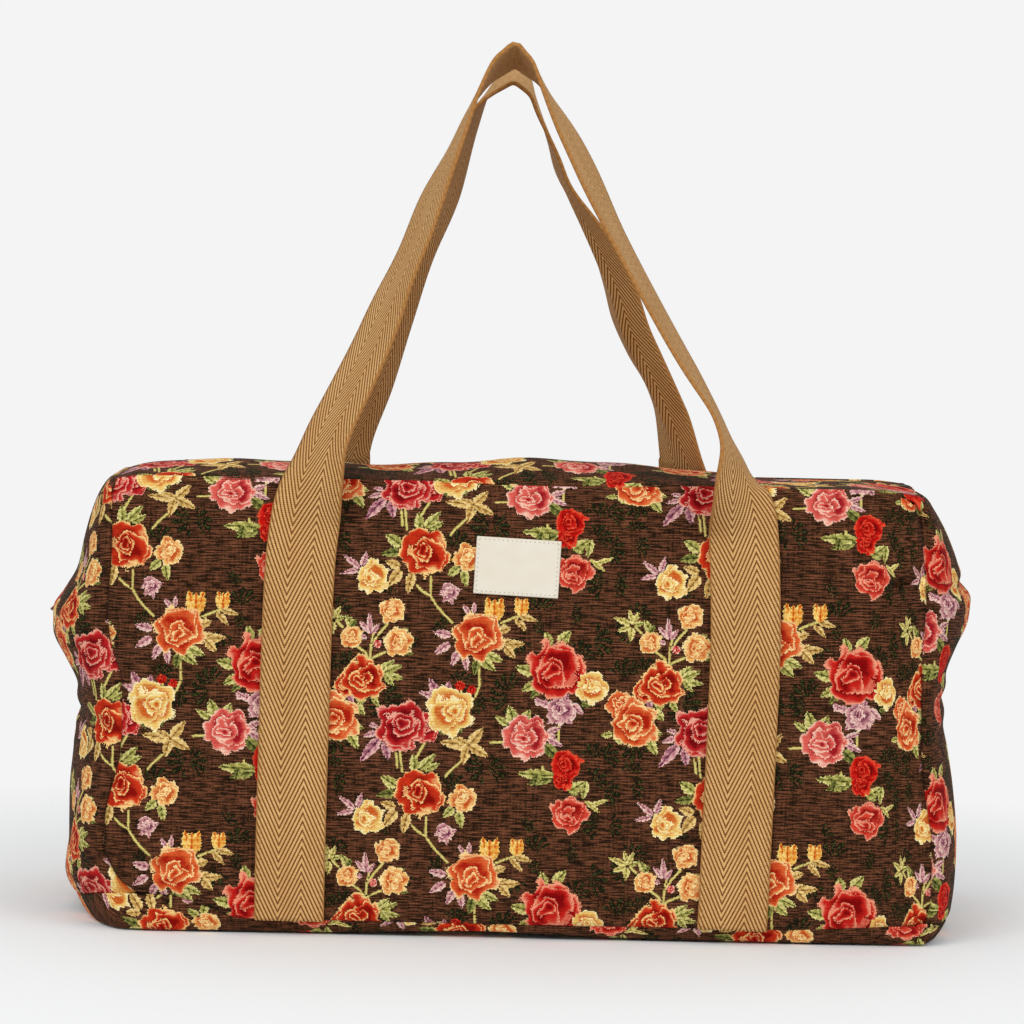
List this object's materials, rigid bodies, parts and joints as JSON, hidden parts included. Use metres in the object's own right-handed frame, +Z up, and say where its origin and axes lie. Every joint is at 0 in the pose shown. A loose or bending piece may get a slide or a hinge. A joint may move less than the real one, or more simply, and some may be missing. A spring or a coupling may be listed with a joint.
{
  "type": "carpet bag",
  "caption": "Soft overnight bag in rose tapestry with a zip along the top and webbing handles sewn up both faces.",
  "frame": {"origin": "middle of the underside, where the bag stands", "axes": "+X along the bag from its left end to its right as seen from the front, +Y from the front to the back, +Z up"},
  "size_m": [0.554, 0.2432, 0.5185],
  "materials": {
    "tapestry": "matt woven tapestry, roses on dark brown",
    "webbing": "tan herringbone cotton webbing",
    "zip_cloth": "dark brown woven zip tape",
    "brass": "polished light brass",
    "label_cotton": "cream cotton tape, bare",
    "leather": "smooth brown leather"
  },
  "bodies": {
    "bag": {"front_panel": "tapestry", "back_panel": "tapestry", "bottom_panel": "tapestry", "left_end_panel": "tapestry", "right_end_panel": "tapestry", "top_strip_front": "tapestry", "top_strip_back": "tapestry", "front_handle": "webbing", "back_handle": "webbing", "zip_tape_front": "zip_cloth", "zip_tape_back": "zip_cloth", "zip_teeth_front": "brass", "zip_teeth_back": "brass", "zip_top_stops": "brass", "zip_bottom_stop": "brass", "label": "label_cotton", "end_tab": "leather"},
    "slider": {"zip_slider": "brass"},
    "puller": {"zip_puller": "brass"}
  },
  "joints": [
    {"name": "zip_slide", "type": "slide", "parent": "bag", "child": "slider", "axis": [1, 0, 0], "range_m": [0, 0.402]},
    {"name": "puller_swing", "type": "hinge", "parent": "slider", "child": "puller", "pos_m": [-0.2013, 0, 0.26575], "axis": [0, -1, 0], "range_deg": [0, 165]}
  ]
}
